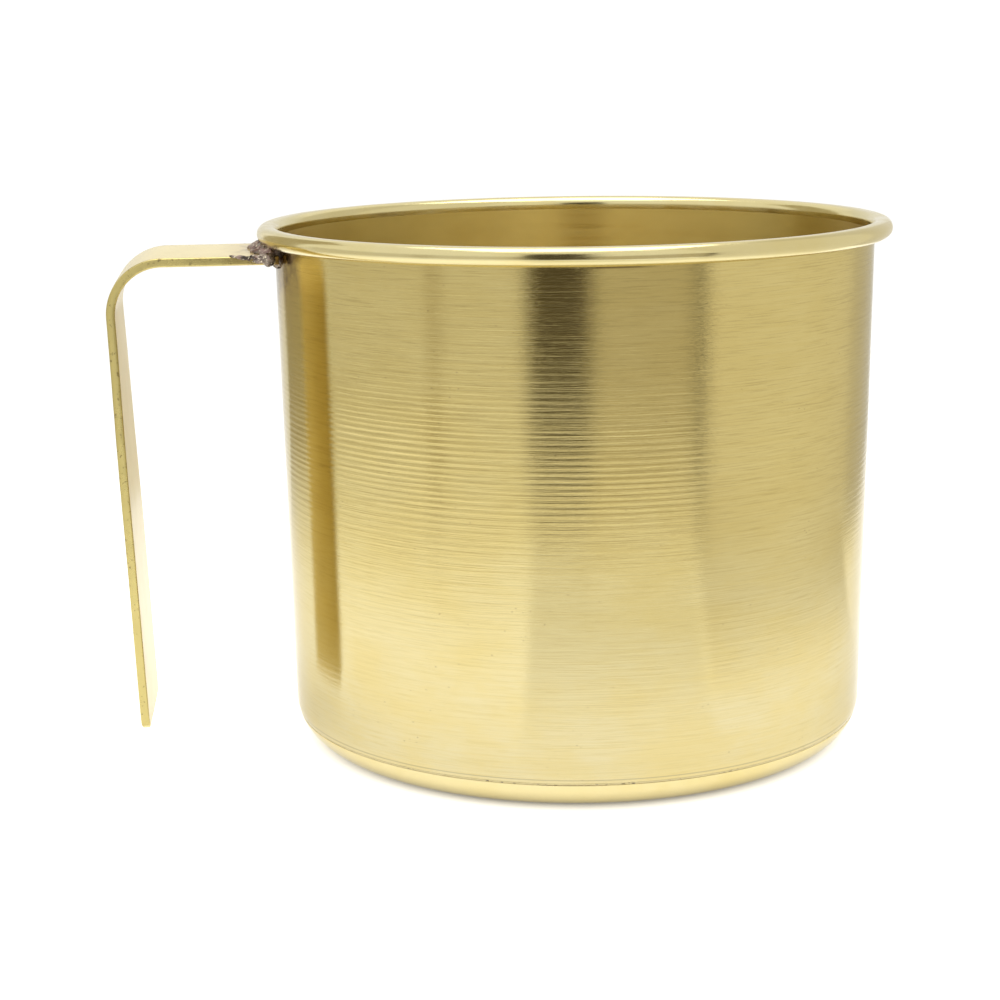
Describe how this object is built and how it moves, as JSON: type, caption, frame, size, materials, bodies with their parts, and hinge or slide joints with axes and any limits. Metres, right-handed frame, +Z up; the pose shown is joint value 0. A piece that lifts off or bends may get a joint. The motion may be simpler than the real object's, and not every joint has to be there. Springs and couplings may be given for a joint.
{
  "type": "brass water mug",
  "caption": "Straight-sided sheet-brass water mug with a wired rolled rim, a pressed base brazed on at a seam, and one open flat-strap handle brazed under the rim.",
  "frame": {"origin": "on the mug's axis, in the plane of the flat ring that it stands on", "axes": "+Z up along the mug's axis; the handle points along -X"},
  "size_m": [0.1604, 0.13, 0.108],
  "materials": {
    "turned_brass": "turned and lightly brushed, semi-bright, with fine rings round the wall",
    "bright_brass": "polished",
    "strap_brass": "satin, brushed along the bar",
    "rim_wire_iron": "drawn, dull",
    "seam_filler": "braze filler, dressed flush outside, with fine pits",
    "handle_filler": "as-brazed, rough, oxidised dark"
  },
  "bodies": {
    "root": {"body_wall": "turned_brass", "rim_wire": "rim_wire_iron", "base_cup": "bright_brass", "base_braze_ring": "seam_filler", "handle_strap": "strap_brass", "handle_braze": "handle_filler"}
  },
  "joints": []
}
